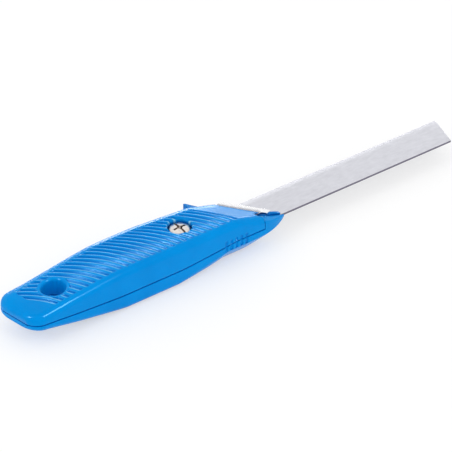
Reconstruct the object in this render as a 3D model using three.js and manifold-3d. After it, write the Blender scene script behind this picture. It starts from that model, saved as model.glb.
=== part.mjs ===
// Insulation knife: a long flat blade on a sliding carrier, clamped in a two-half moulded handle by one screw.
// Millimetres, +X to the blade's tip, +Y to the cutting edge, +Z up.
// The handle is drawn about its parting plane, with the screw on the Z axis. The finished group is then lifted
// so that the flat land under the handle lies at Z = 0 with the origin on it.

import * as THREE from 'three';
import { mergeVertices } from 'three/addons/utils/BufferGeometryUtils.js';
import Module from 'manifold-3d';

const wasm = await Module();
wasm.setup();

// Clearances
const GAP = 0.3;
const SLIDE_GAP = 0.4;

// Blade
const BLADE_WIDTH = 18;
const BLADE_THICKNESS = 1;
const BLADE_REAR = -12;
const BLADE_TIP = 155.5;
const TIP_SLANT = 18;
const BEVEL_WIDTH = 3;
const EDGE_THICKNESS = 0.2;
const BLADE_TRAVEL = 20;

// Carrier on top of the blade
const CARRIER_THICKNESS = 2.8;
const CARRIER_SET_BACK = 1.6;
const FINGER_END = 48.3;
const FINGER_WIDTH = 1.6;
const FINGER_ROOT_WIDTH = 4.8;
const FINGER_RAMP = 4.8;
const FINGER_END_THICKNESS = 0.9;
const PEG_RADIUS = 1.2;
const PEG_X = -6;
const PEG_INSET = 2.4;
const TAB_REAR = 14;
const TAB_LENGTH = 5;
const TAB_REACH = 16.8;
const TAB_TOP = 6.4;
const TAB_FALL = 1.2;
const TAB_BOTTOM = -1.2;

// Pressure plate under the cover's nose
const PLATE_THICKNESS = 0.8;
const PLATE_REAR = 9;
const PLATE_PROJECTION = 2.8;
const PLATE_LIP_RISE = 1.2;
const PLATE_LIP_ANGLE = 40;
const STAKE_RADIUS = 1.4;
const STAKE_X = 17;
const STAKE_Y = 5.6;

// Handle, in plan
const TAIL_X = -86.3;
const TAIL_NEAR_CORNER = 6;
const TAIL_FAR_CORNER = 7.4;
const TAIL_SKEW = 0.2;
const TAIL_SKEW_FROM = -60;
const TAIL_SKEW_TO = -80;
const BEAK_TIP = 50;
const BEAK_START = 36.2;
const BEAK_TIP_HALF = 9.7;
const NEAR_HALF = 14;
const FAR_HALF = 13;
const FAR_WIDEST_X = -19;
const FAR_TAIL_NARROWING = 3.3;
const FAR_NOSE_SLOPE = 0.1;
const NOSE_WALL = 1.4;
const MOUTH_X = 32.4;
const MOUTH_SLANT = 37;

// Handle, in height
const TOP_HEIGHT = 10.3;
const TOP_FLAT_REAR = -38;
const TOP_TAIL_SLOPE = 0.12;
const LAND_DEPTH = 10.2;
const LAND_REAR = -36;
const LAND_FRONT = 26;
const LAND_TAIL_SLOPE = 0.165;
const BEAK_TIP_DEPTH = 1.8;
const BEAK_TOP = 4.7;
const BEAK_TIP_TOP = 0.4;
const SHOULDER = 3.2;
const KEEL_HALF = 4.5;
const KEEL_START = -10;
const KEEL_END = 16.5;
const PARTING_DIP = 2;
const PARTING_TAIL_SLOPE = 0.068;
const PARTING_NOSE_SLOPE = 0.1;
const PARTING_NOSE = 0.6;
const FACET_X = 16.3;
const FACET_LIP = 5.7;
const FACET_CHAMFER = 1.6;

// Walls and ribs inside the shells
const WALL = 2.6;
const RIB = 2;
const RIB_XS = [-52, -38, -24, -11, 11];
const NOSE_BLOCK_X = 15;
const CORE_FRONT = 22;

// Screw, nut and their seats
const SCREW_RADIUS = 2.5;
const HEAD_RADIUS = 5;
const HEAD_HEIGHT = 3.3;
const HEAD_EDGE = 2;
const SCREW_END_RECESS = 0.6;
const SCREW_POINT = 0.6;
const COUNTERBORE_DEPTH = 4.7;
const DRIVE_WIDTH = 1.2;
const DRIVE_LENGTH = 6;
const DRIVE_DEPTH = 1.4;
const BOSS_RADIUS = 3.7;
const NUT_ACROSS_FLATS = 8;
const NUT_THICKNESS = 4;
const NUT_RECESS = 0.4;
const NUT_WALL = 2;

// Hang hole
const HANG_X = -66;
const HANG_Y = -1.5;
const HANG_RADIUS = 5.2;
const HANG_RIM = 1.2;
const HANG_WALL = 2.6;

// Grip grooves and thumb notches
const GROOVE_PITCH = 3.36;
const GROOVE_COUNT = 29;
const GROOVE_WIDTH = 1.5;
const GROOVE_DEPTH = 0.8;
const GROOVE_RADIUS = 48;
const GROOVE_FIRST_CENTRE = [-22.1, -28.1];
const GROOVE_SWEEP = [8, 64];
const GROOVE_MARGIN = 3.4;
const GROOVE_TAIL_MARGIN = 8;
const GROOVE_RING = 0.4;
const GROOVE_FRONT = 25;
const GROOVE_FRONT_BELOW = -9;
const THUMB_NOTCHES = 5;
const THUMB_PITCH = 2.75;
const THUMB_FIRST_X = 15;
const THUMB_HALF_HEIGHT = 2.7;
const THUMB_RADIUS = 0.7;
const FINGER_NOTCH_RADIUS = 2.4;

// Origin of the part, on the land
const ORIGIN_X = -21.8;

// Heights that follow from the sizes above
const BLADE_HALF = BLADE_WIDTH / 2;
const BLADE_TOP = BLADE_THICKNESS / 2;
const CARRIER_BOTTOM = BLADE_TOP + GAP;
const CARRIER_TOP = CARRIER_BOTTOM + CARRIER_THICKNESS;
const CARRIER_HALF = BLADE_HALF + 0.2;
const PEG_Y = BLADE_HALF - PEG_INSET;
const PLATE_BOTTOM = CARRIER_TOP + GAP;
const PLATE_TOP = PLATE_BOTTOM + PLATE_THICKNESS;
const CHANNEL_HALF = CARRIER_HALF + GAP;
const CHANNEL_FLOOR = -BLADE_TOP - GAP;
const BOSS_SLOT_HALF = BOSS_RADIUS + SLIDE_GAP;
const SLOT_FRONT = BLADE_TRAVEL + BOSS_SLOT_HALF;
const CHANNEL_REAR = BLADE_REAR - BLADE_TRAVEL - 2;
const SLANT = THREE.MathUtils.degToRad(MOUTH_SLANT);
const HALF_GAP = GAP / 2;
const COUNTERBORE_FLOOR = TOP_HEIGHT - COUNTERBORE_DEPTH;
const BIG = 200;
const ROUND = 28;

// Solids from three.js geometry

function toSolid(geometry) {
  const bare = geometry.index ? geometry.toNonIndexed() : geometry.clone();
  for (const name of Object.keys(bare.attributes)) {
    if (name !== 'position') bare.deleteAttribute(name);
  }
  const merged = mergeVertices(bare, 1e-5);
  return new wasm.Manifold(new wasm.Mesh({
    numProp: 3,
    vertProperties: new Float32Array(merged.attributes.position.array),
    triVerts: new Uint32Array(merged.index.array),
  }));
}

function toMesh(name, solid, material) {
  const { vertProperties, triVerts } = solid.getMesh();
  const geometry = new THREE.BufferGeometry();
  geometry.setAttribute('position', new THREE.BufferAttribute(new Float32Array(vertProperties), 3));
  geometry.setIndex(new THREE.BufferAttribute(new Uint32Array(triVerts), 1));
  geometry.computeVertexNormals();
  const mesh = new THREE.Mesh(geometry, material);
  mesh.name = name;
  return mesh;
}

function box(x0, x1, y0, y1, z0, z1) {
  const geometry = new THREE.BoxGeometry(x1 - x0, y1 - y0, z1 - z0);
  geometry.translate((x0 + x1) / 2, (y0 + y1) / 2, (z0 + z1) / 2);
  return toSolid(geometry);
}

function post(radius, x, y, z0, z1, sides = ROUND) {
  const geometry = new THREE.CylinderGeometry(radius, radius, z1 - z0, sides);
  geometry.rotateX(Math.PI / 2);
  geometry.translate(x, y, (z0 + z1) / 2);
  return toSolid(geometry);
}

function prism(points, z0, z1) {
  const shape = new THREE.Shape(points.map(([x, y]) => new THREE.Vector2(x, y)));
  const geometry = new THREE.ExtrudeGeometry(shape, { depth: z1 - z0, bevelEnabled: false });
  geometry.translate(0, 0, z0);
  return toSolid(geometry);
}

// Drawn out along y from an outline of [x, z] points, each point moving back by lean times y.
function across(points, y0, y1, lean = 0) {
  const shape = new THREE.Shape(points.map(([x, z]) => new THREE.Vector2(x, z)));
  const geometry = new THREE.ExtrudeGeometry(shape, { depth: y1 - y0, bevelEnabled: false });
  geometry.rotateX(Math.PI / 2);
  geometry.translate(0, y1, 0);
  geometry.applyMatrix4(new THREE.Matrix4().makeShear(0, 0, -lean, 0, 0, 0));
  return toSolid(geometry);
}

// Revolved about the vertical line through (x, y), from [radius, height] points.
function turned(profile, x, y, sides = ROUND) {
  const geometry = new THREE.LatheGeometry(profile.map(([r, z]) => new THREE.Vector2(r, z)), sides);
  geometry.rotateX(Math.PI / 2);
  geometry.translate(x, y, 0);
  return toSolid(geometry);
}

// A skin through cross-sections with equal point counts, closed by a fan at each end.
function loft(sections) {
  const count = sections[0].length;
  const positions = sections.flat(2);
  const index = [];
  for (let s = 0; s + 1 < sections.length; s += 1) {
    for (let i = 0; i < count; i += 1) {
      const a = s * count + i;
      const b = s * count + ((i + 1) % count);
      index.push(a, b, a + count, b, b + count, a + count);
    }
  }
  const last = (sections.length - 1) * count;
  for (let i = 1; i + 1 < count; i += 1) {
    index.push(0, i + 1, i, last, last + i, last + i + 1);
  }
  const geometry = new THREE.BufferGeometry();
  geometry.setAttribute('position', new THREE.BufferAttribute(new Float32Array(positions), 3));
  geometry.setIndex(index);
  const solid = toSolid(geometry);
  return solid.volume() > 0 ? solid : toSolid(flipped(geometry));
}

function flipped(geometry) {
  const turnedOver = geometry.clone();
  const index = Array.from(geometry.index.array);
  for (let i = 0; i < index.length; i += 3) {
    [index[i + 1], index[i + 2]] = [index[i + 2], index[i + 1]];
  }
  turnedOver.setIndex(index);
  return turnedOver;
}

// Everything past a line across the handle that is slanted like the mouth, at x on the centre line.
function pastSlant(x, z0, z1) {
  const lean = Math.tan(SLANT);
  return prism([
    [x - lean * BIG, BIG],
    [x + lean * BIG, -BIG],
    [x + lean * BIG + 2 * BIG, -BIG],
    [x - lean * BIG + 2 * BIG, BIG],
  ], z0, z1);
}

// Outline of the handle

function smooth(t) {
  const u = THREE.MathUtils.clamp(t, 0, 1);
  return u * u * (3 - 2 * u);
}

// A slope that starts softly: zero before u = 0, then towards slope * u.
function softRamp(u, slope, softness) {
  return u > 0 ? (slope * u * u) / (u + softness) : 0;
}

function tailInset(x, radius) {
  const inside = radius - (x - TAIL_X);
  return inside > 0 ? radius - Math.sqrt(Math.max(radius ** 2 - inside ** 2, 0)) : 0;
}

function nearSide(x) {
  const t = Math.max(0, (x - BEAK_START) / (BEAK_TIP - BEAK_START));
  return -NEAR_HALF + (NEAR_HALF - BEAK_TIP_HALF) * t * t + tailInset(x, TAIL_NEAR_CORNER);
}

function farSide(x) {
  const back = Math.max(0, (FAR_WIDEST_X - x) / (FAR_WIDEST_X - TAIL_X));
  const nose = softRamp(x - FAR_WIDEST_X, FAR_NOSE_SLOPE, 6);
  const width = FAR_HALF - FAR_TAIL_NARROWING * back * back - nose;
  return Math.max(width, CHANNEL_HALF + NOSE_WALL) - tailInset(x, TAIL_FAR_CORNER);
}

// The line where the two halves meet: dipped along the middle, rising to the tail and to the nose.
function parting(x) {
  const tail = softRamp(TOP_FLAT_REAR - x, PARTING_TAIL_SLOPE, 4);
  const nose = softRamp(x - KEEL_START, PARTING_NOSE_SLOPE, 6);
  return Math.min(tail + nose - PARTING_DIP, PARTING_NOSE);
}

function tailDrop(x) {
  return 0.3 * tailInset(x, TAIL_NEAR_CORNER);
}

function topHeight(x) {
  return TOP_HEIGHT - softRamp(TOP_FLAT_REAR - x, TOP_TAIL_SLOPE, 4) - tailDrop(x);
}

function landDepth(x) {
  const rise = Math.max(0, (x - LAND_FRONT) / (BEAK_TIP - LAND_FRONT)) ** 2;
  const tail = softRamp(LAND_REAR - x, LAND_TAIL_SLOPE, 3);
  return LAND_DEPTH - (LAND_DEPTH - BEAK_TIP_DEPTH) * rise - tail - 0.5 * tailDrop(x);
}

// Corner from the side wall at y to the top or bottom face, which lies towards inward, 1 or -1.
// Fullness 2 is round and 1 is a flat chamfer.
function corner(y, inward, height, across, up, fullness, steps = 5) {
  const points = [];
  for (let i = 0; i <= steps; i += 1) {
    const a = (i / steps) * (Math.PI / 2);
    const u = Math.max(Math.cos(a), 0) ** (2 / fullness);
    const w = Math.sin(a) ** (2 / fullness);
    points.push([y + inward * across * (1 - u), height - up * (1 - w)]);
  }
  return points;
}

// Half a cross-section at x, from the near side over the face to the far side. side is 1 above the parting
// line and -1 below it, gap is kept free at the line and inset shrinks the half for the inside of the wall.
function halfSection(x, side, gap, inset) {
  const near = nearSide(x) + inset;
  const far = farSide(x) - inset;
  const base = side * parting(x) + gap;
  const height = (side > 0 ? topHeight(x) : landDepth(x)) - inset;
  const keel = side > 0 ? 0 : THREE.MathUtils.clamp((x - KEEL_START) / (KEEL_END - KEEL_START), 0, 1);
  const shoulder = Math.min(SHOULDER, 0.4 * (far - near));
  const across = THREE.MathUtils.lerp(shoulder, Math.min(-near, far) - KEEL_HALF, keel);
  const up = Math.min(THREE.MathUtils.lerp(SHOULDER, 0.75 * height, keel), height - base - 0.3);
  const fullness = THREE.MathUtils.lerp(2, 1.1, keel);
  const outline = [
    [near, base],
    ...corner(near, 1, height, across, up, fullness),
    ...corner(far, -1, height, across, up, fullness).reverse(),
    [far, base],
  ];
  const skew = TAIL_SKEW * smooth((TAIL_SKEW_FROM - x) / (TAIL_SKEW_FROM - TAIL_SKEW_TO));
  return outline.map(([y, z]) => [x - skew * y, y, side * z]);
}

// Stations along the handle, closer together at the tail's corner and at the nose.
function stations(from, to) {
  const all = [from, to, TOP_FLAT_REAR, LAND_REAR, FAR_WIDEST_X, KEEL_START, KEEL_END, LAND_FRONT, BEAK_START];
  for (let i = 0; i <= 6; i += 1) all.push(TAIL_X + TAIL_FAR_CORNER * (1 - Math.cos((i / 6) * (Math.PI / 2))));
  for (let x = TAIL_X + TAIL_FAR_CORNER + 6; x < KEEL_START; x += 7) all.push(x);
  for (let x = KEEL_START + 4; x < BEAK_TIP - 1; x += 3.4) all.push(x);
  return all
    .filter((x) => x >= from && x <= to)
    .sort((a, b) => a - b)
    .filter((x, i, sorted) => x === to || (i === 0 || x - sorted[i - 1] > 0.3) && to - x > 0.3);
}

function halfBody(side, gap, inset = 0) {
  return loft(stations(TAIL_X, BEAK_TIP).map((x) => halfSection(x, side, gap, inset)));
}

function halfCore(side) {
  const rear = TAIL_X + TAIL_NEAR_CORNER;
  return loft(stations(rear, CORE_FRONT).map((x) => halfSection(x, side, -1, WALL)));
}

// Height of the sloping facet on the nose, which falls towards the mouth
function facetHeight(x, y) {
  const slope = (TOP_HEIGHT - FACET_LIP) / (MOUTH_X - FACET_X);
  return TOP_HEIGHT - slope * (x + Math.tan(SLANT) * y - FACET_X);
}

// Everything above the facet and above the chamfer along its far edge
function aboveFacet() {
  const facet = across([
    [FACET_X, TOP_HEIGHT],
    [FACET_X + BIG, facetHeight(FACET_X + BIG, 0)],
    [FACET_X + BIG, BIG],
    [FACET_X, BIG],
  ], -BIG, BIG, Math.tan(SLANT));
  const chamfer = loft([FACET_X - CORE_FRONT, MOUTH_X].map((x) => {
    const y = farSide(MOUTH_X) - FACET_CHAMFER;
    const z = facetHeight(x, y);
    return [[x, y, z], [x, y + BIG, z - BIG], [x, y + BIG, z + BIG], [x, y, z + BIG]];
  }));
  return facet.add(chamfer);
}

// The beak's own top, falling to its tip: everything above it.
function aboveBeak() {
  const slope = (BEAK_TOP - BEAK_TIP_TOP) / (BEAK_TIP - BEAK_START);
  return across([
    [BEAK_START - BIG, BEAK_TOP + slope * BIG],
    [BEAK_START + BIG, BEAK_TOP - slope * BIG],
    [BEAK_START + BIG, BIG],
    [BEAK_START - BIG, BIG],
  ], -BIG, BIG);
}

// Grip pattern

// The field that the grooves fill: the plan outline drawn in by a margin, less a ring about the hang hole.
function grooveField(front) {
  const rear = TAIL_X + GROOVE_TAIL_MARGIN;
  const steps = 12;
  const near = [];
  const far = [];
  for (let i = 0; i <= steps; i += 1) {
    const x = THREE.MathUtils.lerp(rear, front, i / steps);
    near.push([x, nearSide(x) + GROOVE_MARGIN]);
    far.unshift([x, farSide(x) - GROOVE_MARGIN]);
  }
  const ring = post(HANG_RADIUS + HANG_RIM + GROOVE_RING, HANG_X, HANG_Y, -BIG, BIG);
  return prism([...near, ...far], -BIG, BIG).subtract(ring);
}

// Arc-shaped cutters, one pitch apart, down to an even depth below the face.
function grooves(side) {
  const [low, high] = GROOVE_SWEEP.map(THREE.MathUtils.degToRad);
  const arc = new THREE.Shape();
  arc.absarc(0, 0, GROOVE_RADIUS + GROOVE_WIDTH / 2, low, high, false);
  arc.absarc(0, 0, GROOVE_RADIUS - GROOVE_WIDTH / 2, high, low, true);
  let all = null;
  for (let k = 0; k < GROOVE_COUNT; k += 1) {
    const geometry = new THREE.ExtrudeGeometry(arc, { depth: BIG, bevelEnabled: false, curveSegments: 7 });
    geometry.translate(GROOVE_FIRST_CENTRE[0] - k * GROOVE_PITCH, GROOVE_FIRST_CENTRE[1], side > 0 ? 0 : -BIG);
    const cutter = toSolid(geometry);
    all = all ? all.add(cutter) : cutter;
  }
  return all
    .intersect(grooveField(side > 0 ? GROOVE_FRONT : GROOVE_FRONT_BELOW))
    .subtract(halfBody(side, -BIG / 10, GROOVE_DEPTH));
}

function thumbNotches() {
  let all = null;
  for (let k = 0; k < THUMB_NOTCHES; k += 1) {
    const x = THUMB_FIRST_X + k * THUMB_PITCH;
    const notch = post(THUMB_RADIUS, x, -NEAR_HALF, -THUMB_HALF_HEIGHT, THUMB_HALF_HEIGHT, 12);
    all = all ? all.add(notch) : notch;
  }
  return all;
}

// Hang hole with a rolled rim at both faces, each rim lying along its sloping face
function hangHole() {
  const bore = post(HANG_RADIUS, HANG_X, HANG_Y, -BIG, BIG);
  const faces = [{ out: 1, height: topHeight }, { out: -1, height: (x) => -landDepth(x) }];
  return faces.reduce((hole, { out, height }) => {
    const rim = [[0, -out * HANG_RIM]];
    for (let i = 0; i <= 4; i += 1) {
      const a = (i / 4) * (Math.PI / 2);
      rim.push([HANG_RADIUS + HANG_RIM * (1 - Math.cos(a)), -out * HANG_RIM * (1 - Math.sin(a))]);
    }
    rim.push([HANG_RADIUS + HANG_RIM, out * HANG_RADIUS], [0, out * HANG_RADIUS]);
    const slope = (height(HANG_X + HANG_RADIUS) - height(HANG_X - HANG_RADIUS)) / (2 * HANG_RADIUS);
    const tilt = -THREE.MathUtils.radToDeg(Math.atan(slope));
    const seat = turned(out > 0 ? rim : rim.reverse(), 0, 0)
      .rotate([0, tilt, 0])
      .translate([HANG_X, HANG_Y, height(HANG_X)]);
    return hole.add(seat);
  }, bore);
}

// Ribs across the inside of both halves
function ribs() {
  return RIB_XS.map((x) => box(x - RIB / 2, x + RIB / 2, -BIG, BIG, -BIG, BIG));
}

// Lower half of the handle, with the beak that backs up the blade
function lowerShell() {
  const hangTube = post(HANG_RADIUS + HANG_WALL, HANG_X, HANG_Y, -BIG, BIG);
  const nutRadius = (NUT_ACROSS_FLATS / 2 + GAP) / Math.cos(Math.PI / 6);
  const nutBoss = post(nutRadius + NUT_WALL, 0, 0, -BIG, BIG);
  const railEnd = NOSE_BLOCK_X + 1;
  const rails = [-1, 1].map((way) => {
    const middle = way * (CHANNEL_HALF - GAP - RIB / 2);
    return (z) => box(CHANNEL_REAR + RIB, railEnd, middle - RIB / 2, middle + RIB / 2, z, CHANNEL_FLOOR);
  });
  const kept = [hangTube, nutBoss, box(NOSE_BLOCK_X, BIG, -BIG, BIG, -BIG, BIG), ...ribs()];
  const core = [...kept, ...rails.map((rail) => rail(-BIG))]
    .reduce((hollow, piece) => hollow.subtract(piece), halfCore(-1));
  const beakZone = box(BEAK_START, BIG, -BIG, -CHANNEL_HALF, -BIG, BIG);
  const beak = halfBody(1, -1).subtract(aboveBeak()).intersect(beakZone);
  const front = pastSlant(MOUTH_X + PLATE_PROJECTION / 2, -BIG, BIG)
    .intersect(box(-BIG, BIG, -CHANNEL_HALF, BIG, -BIG, BIG));
  const channel = box(CHANNEL_REAR, BIG, -CHANNEL_HALF, CHANNEL_HALF, CHANNEL_FLOOR, BIG);
  const nutFloor = -LAND_DEPTH + NUT_RECESS + NUT_THICKNESS + GAP;
  const nutPocket = post(nutRadius, 0, 0, -BIG, nutFloor, 6);
  return rails.reduce((shell, rail) => shell.add(rail(-LAND_DEPTH / 2)), halfBody(-1, HALF_GAP).subtract(core))
    .add(beak)
    .subtract(front)
    .subtract(channel)
    .subtract(nutPocket)
    .subtract(post(SCREW_RADIUS + GAP, 0, 0, -BIG, BIG))
    .subtract(hangHole())
    .subtract(thumbNotches())
    .subtract(grooves(-1));
}

// Upper half of the handle, the cover that the screw pulls down
function upperShell() {
  const hangTube = post(HANG_RADIUS + HANG_WALL, HANG_X, HANG_Y, -BIG, BIG);
  const headWall = post(HEAD_RADIUS + SLIDE_GAP + NUT_WALL, 0, 0, -BIG, BIG);
  const core = [hangTube, headWall, box(NOSE_BLOCK_X, BIG, -BIG, BIG, -BIG, BIG), ...ribs()]
    .reduce((hollow, piece) => hollow.subtract(piece), halfCore(1));
  const carrierRoof = CARRIER_TOP + GAP;
  const plateRoof = PLATE_TOP + GAP;
  const carrierWay = box(CHANNEL_REAR, BIG, -CHANNEL_HALF, CHANNEL_HALF, -BIG, carrierRoof);
  const plateWay = box(PLATE_REAR - GAP, BIG, -CHANNEL_HALF, CHANNEL_HALF, -BIG, plateRoof);
  const tabWay = box(TAB_REAR - BLADE_TRAVEL - SLIDE_GAP, TAB_REAR + TAB_LENGTH + SLIDE_GAP,
    0, BIG, -BIG, carrierRoof);
  const notchEdge = FINGER_NOTCH_RADIUS - CHANNEL_HALF;
  const beakWay = box(BEAK_START - GAP, BIG, -BIG, notchEdge, -BIG, BIG);
  const fingerNotch = post(FINGER_NOTCH_RADIUS, BEAK_START, -CHANNEL_HALF, -BIG, BIG);
  const boss = post(BOSS_RADIUS, 0, 0, CHANNEL_FLOOR + GAP, carrierRoof + 0.5);
  const stakeTop = plateRoof + 0.5;
  const stakes = [-STAKE_Y, STAKE_Y].map((y) => post(STAKE_RADIUS, STAKE_X, y, PLATE_BOTTOM, stakeTop, 12));
  const hollow = halfBody(1, HALF_GAP)
    .subtract(core)
    .subtract(aboveFacet())
    .subtract(carrierWay)
    .subtract(plateWay)
    .subtract(tabWay)
    .subtract(pastSlant(MOUTH_X, -BIG, BIG))
    .subtract(beakWay)
    .subtract(fingerNotch);
  return [boss, ...stakes].reduce((shell, piece) => shell.add(piece), hollow)
    .subtract(post(HEAD_RADIUS + SLIDE_GAP, 0, 0, COUNTERBORE_FLOOR, BIG))
    .subtract(post(SCREW_RADIUS + GAP, 0, 0, -BIG, BIG))
    .subtract(hangHole())
    .subtract(thumbNotches())
    .subtract(grooves(1));
}

// Slot, open at the rear, that straddles the screw boss over the whole travel
function bossSlot() {
  return box(-BIG, SLOT_FRONT - BOSS_SLOT_HALF, -BOSS_SLOT_HALF, BOSS_SLOT_HALF, -BIG, BIG)
    .add(post(BOSS_SLOT_HALF, SLOT_FRONT - BOSS_SLOT_HALF, 0, -BIG, BIG));
}

function pegs(radius, z0, z1) {
  return [-PEG_Y, PEG_Y].map((y) => post(radius, PEG_X, y, z0, z1, 16));
}

// Blade: flat stock ground to an edge along its far side, with a slanted end
function blade() {
  const edge = EDGE_THICKNESS / 2;
  const section = new THREE.Shape([
    new THREE.Vector2(-BLADE_HALF, -BLADE_TOP),
    new THREE.Vector2(BLADE_HALF - BEVEL_WIDTH, -BLADE_TOP),
    new THREE.Vector2(BLADE_HALF, -edge),
    new THREE.Vector2(BLADE_HALF, edge),
    new THREE.Vector2(BLADE_HALF - BEVEL_WIDTH, BLADE_TOP),
    new THREE.Vector2(-BLADE_HALF, BLADE_TOP),
  ]);
  const geometry = new THREE.ExtrudeGeometry(section, { depth: BLADE_TIP - BLADE_REAR, bevelEnabled: false });
  geometry.applyMatrix4(new THREE.Matrix4().makeBasis(
    new THREE.Vector3(0, 1, 0),
    new THREE.Vector3(0, 0, 1),
    new THREE.Vector3(1, 0, 0),
  ));
  geometry.translate(BLADE_REAR, 0, 0);
  const lean = Math.tan(THREE.MathUtils.degToRad(TIP_SLANT));
  const end = prism([
    [BLADE_TIP + lean, BLADE_HALF + 1],
    [BLADE_TIP - lean * (BLADE_WIDTH + 1), -BLADE_HALF - 1],
    [BLADE_TIP + BIG, -BLADE_HALF - 1],
    [BLADE_TIP + BIG, BLADE_HALF + 1],
  ], -BIG, BIG);
  return [end, bossSlot(), ...pegs(PEG_RADIUS + GAP, -BIG, BIG)]
    .reduce((stock, cut) => stock.subtract(cut), toSolid(geometry));
}

// Carrier: slides on the blade, hooks it with two pegs and is pushed by the tab on the far side
function bladeCarrier() {
  const front = MOUTH_X + PLATE_PROJECTION - CARRIER_SET_BACK;
  const plate = box(BLADE_REAR, BIG, -CARRIER_HALF, CARRIER_HALF, CARRIER_BOTTOM, CARRIER_TOP)
    .subtract(pastSlant(front, -BIG, BIG))
    .subtract(bossSlot());
  const rampStart = FINGER_END - FINGER_RAMP;
  const finger = prism([
    [front, -CARRIER_HALF],
    [FINGER_END, -CARRIER_HALF],
    [FINGER_END, FINGER_WIDTH - CARRIER_HALF],
    [rampStart, FINGER_WIDTH - CARRIER_HALF],
    [front, FINGER_ROOT_WIDTH - CARRIER_HALF],
  ], CARRIER_BOTTOM, CARRIER_TOP).subtract(across([
    [rampStart, CARRIER_TOP],
    [FINGER_END, CARRIER_BOTTOM + FINGER_END_THICKNESS],
    [BIG, CARRIER_BOTTOM + FINGER_END_THICKNESS],
    [BIG, BIG],
    [rampStart, BIG],
  ], -BIG, BIG));
  const wall = farSide(TAB_REAR - BLADE_TRAVEL) + SLIDE_GAP;
  const tabFront = TAB_REAR + TAB_LENGTH;
  const neck = box(TAB_REAR, tabFront, CARRIER_HALF - 1, wall + 0.5, CARRIER_BOTTOM, CARRIER_TOP);
  const tab = prism([
    [TAB_REAR, wall],
    [tabFront, wall],
    [TAB_REAR + 1, TAB_REACH],
    [TAB_REAR, TAB_REACH],
  ], TAB_BOTTOM, TAB_TOP).subtract(across([
    [TAB_REAR - TAB_LENGTH, TAB_TOP + TAB_FALL],
    [tabFront + TAB_LENGTH, TAB_TOP - 2 * TAB_FALL],
    [tabFront + TAB_LENGTH, BIG],
    [TAB_REAR - TAB_LENGTH, BIG],
  ], 0, BIG));
  return [finger, neck, tab, ...pegs(PEG_RADIUS, -BLADE_TOP + 0.1, CARRIER_BOTTOM + 0.5)]
    .reduce((carrier, piece) => carrier.add(piece), plate);
}

// Pressure plate: spring steel under the cover's nose, staked to it, its front edge turned up out of the mouth
function pressurePlate() {
  const bend = THREE.MathUtils.degToRad(PLATE_LIP_ANGLE);
  const end = MOUTH_X + PLATE_PROJECTION;
  const foot = end - PLATE_LIP_RISE / Math.tan(bend);
  const profile = [
    [-BIG, PLATE_BOTTOM],
    [foot + PLATE_THICKNESS * Math.tan(bend / 2), PLATE_BOTTOM],
    [end + PLATE_THICKNESS * Math.sin(bend), PLATE_TOP + PLATE_LIP_RISE - PLATE_THICKNESS * Math.cos(bend)],
    [end, PLATE_TOP + PLATE_LIP_RISE],
    [foot, PLATE_TOP],
    [-BIG, PLATE_TOP],
  ];
  const holes = [-STAKE_Y, STAKE_Y].map((y) => post(STAKE_RADIUS + GAP, STAKE_X, y, -BIG, BIG, 16));
  const notchRear = BEAK_START - FINGER_NOTCH_RADIUS - GAP;
  const relief = box(notchRear, BIG, -BIG, FINGER_NOTCH_RADIUS - CHANNEL_HALF, -BIG, BIG)
    .subtract(pastSlant(foot, -BIG, BIG));
  return [relief, ...holes].reduce(
    (plate, cut) => plate.subtract(cut),
    across(profile, -CARRIER_HALF, CARRIER_HALF, Math.tan(SLANT))
      .intersect(box(PLATE_REAR, BIG, -BIG, BIG, -BIG, BIG)),
  );
}

// Pan head screw with a combined cross and slot drive
function handleScrew() {
  const seat = COUNTERBORE_FLOOR + GAP;
  const end = -LAND_DEPTH + SCREW_END_RECESS;
  const profile = [[0, end], [SCREW_RADIUS - SCREW_POINT, end], [SCREW_RADIUS, end + SCREW_POINT],
    [SCREW_RADIUS, seat], [HEAD_RADIUS, seat]];
  const steps = 5;
  for (let i = 0; i <= steps; i += 1) {
    const a = (i / steps) * (Math.PI / 2);
    profile.push([HEAD_RADIUS * Math.cos(a), seat + HEAD_EDGE + (HEAD_HEIGHT - HEAD_EDGE) * Math.sin(a)]);
  }
  const top = seat + HEAD_HEIGHT;
  const half = DRIVE_WIDTH / 2;
  const reach = DRIVE_LENGTH / 2;
  const slot = box(-half, half, -BIG, BIG, top - DRIVE_DEPTH, BIG);
  const bar = box(-reach, reach, -half, half, top - DRIVE_DEPTH, BIG);
  profile[profile.length - 1][0] = 0;
  return turned(profile, 0, 0).subtract(slot).subtract(bar);
}

// Hexagon nut, caught in the pocket under the screw
function screwNut() {
  const radius = NUT_ACROSS_FLATS / 2 / Math.cos(Math.PI / 6);
  const bottom = -LAND_DEPTH + NUT_RECESS;
  return post(radius, 0, 0, bottom, bottom + NUT_THICKNESS, 6)
    .subtract(post(SCREW_RADIUS + GAP, 0, 0, -BIG, BIG));
}

const bluePlastic = new THREE.MeshStandardMaterial({ color: 0x0a86e0, roughness: 0.38, metalness: 0 });
const darkBluePlastic = new THREE.MeshStandardMaterial({ color: 0x0b6fcf, roughness: 0.4, metalness: 0 });
const bladeSteel = new THREE.MeshStandardMaterial({ color: 0xd8d9de, roughness: 0.34, metalness: 1 });
const plateSteel = new THREE.MeshStandardMaterial({ color: 0xe6e6e8, roughness: 0.25, metalness: 1 });
const zincSteel = new THREE.MeshStandardMaterial({ color: 0xcfcac4, roughness: 0.3, metalness: 1 });

const cover = new THREE.Group();
cover.add(
  toMesh('upper_shell', upperShell(), bluePlastic),
  toMesh('pressure_plate', pressurePlate(), plateSteel),
  toMesh('handle_screw', handleScrew(), zincSteel),
);

const slider = new THREE.Group();
slider.add(
  toMesh('blade', blade(), bladeSteel),
  toMesh('blade_carrier', bladeCarrier(), darkBluePlastic),
);

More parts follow.
